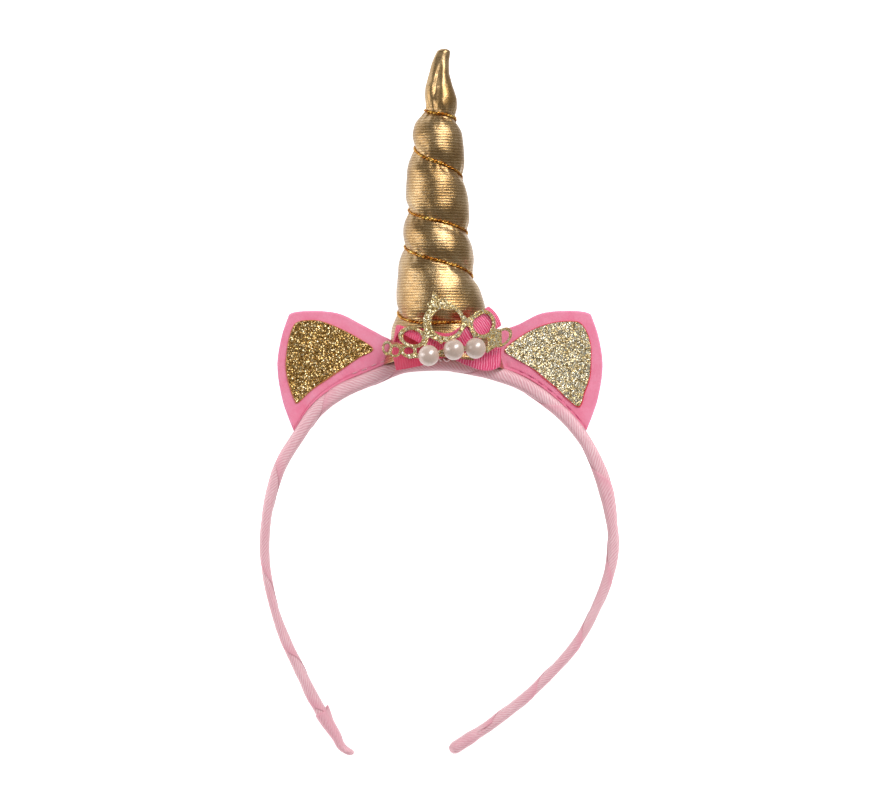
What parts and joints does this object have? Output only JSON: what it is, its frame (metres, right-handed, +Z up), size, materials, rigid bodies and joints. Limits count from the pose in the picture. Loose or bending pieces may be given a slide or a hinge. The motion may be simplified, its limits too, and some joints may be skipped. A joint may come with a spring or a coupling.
{
  "type": "unicorn horn headband",
  "caption": "Costume headband wound with ribbon, with a stuffed spiral horn, felt ears with glitter inserts, and a ribbon bow under a pierced glitter tiara and pearls.",
  "frame": {"origin": "on the surface that the headband lies on, under the middle of its box", "axes": "+Z up, out of the headband's front; +Y along the horn; +X to the viewer's right"},
  "size_m": [0.1258, 0.2466, 0.0484],
  "materials": {
    "band_ribbon": "satin",
    "felt": "matte",
    "glitter": "satin",
    "lame": "satin",
    "metallic_cord": "satin",
    "bow_ribbon": "satin",
    "pearl": "gloss"
  },
  "bodies": {
    "root": {"headband": "band_ribbon", "left_ear_felt": "felt", "left_ear_glitter": "glitter", "right_ear_felt": "felt", "right_ear_glitter": "glitter", "horn": "lame", "horn_cord": "metallic_cord", "bow_tails": "bow_ribbon", "bow_loops": "bow_ribbon", "tiara": "glitter", "pearl_left": "pearl", "pearl_middle": "pearl", "pearl_right": "pearl"}
  },
  "joints": []
}
